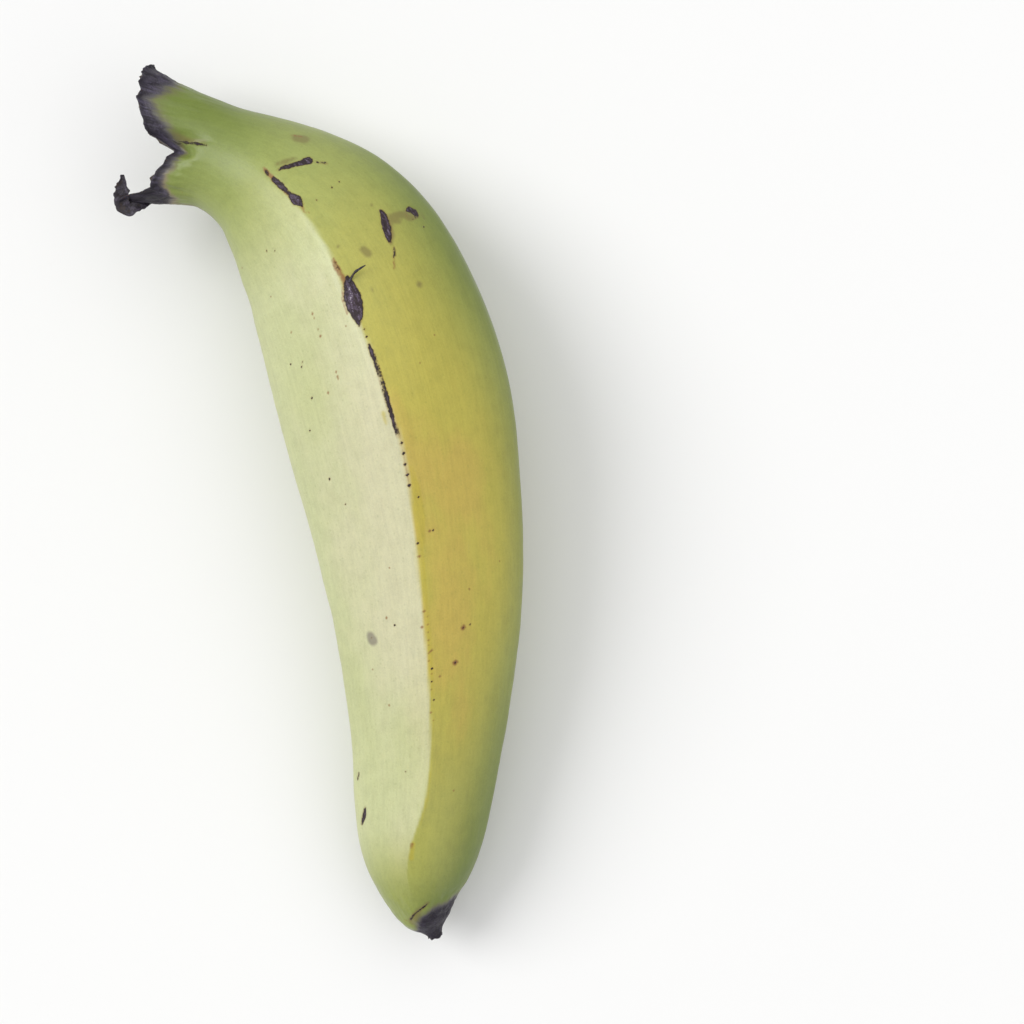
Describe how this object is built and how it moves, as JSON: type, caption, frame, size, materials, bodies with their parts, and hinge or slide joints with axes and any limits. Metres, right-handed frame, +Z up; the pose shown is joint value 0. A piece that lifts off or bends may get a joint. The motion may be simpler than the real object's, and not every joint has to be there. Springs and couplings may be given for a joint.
{
  "type": "plantain",
  "caption": "Curved, softly angular starchy fruit lying on its side, with a torn, split crown at the stem end and a blunt dry tip at the other.",
  "frame": {"origin": "on the surface the fruit lies on, under the centre of its bounding box", "axes": "+Z up; +Y along the long way, from the tip towards the stem end; +X towards the outer side of the bend; the crown points to -X"},
  "size_m": [0.0974, 0.2116, 0.0532],
  "materials": {
    "peel": "waxy green peel turning yellow, with brown scars and a dark dried crown and tip"
  },
  "bodies": {
    "root": {"plantain": "peel"}
  },
  "joints": []
}
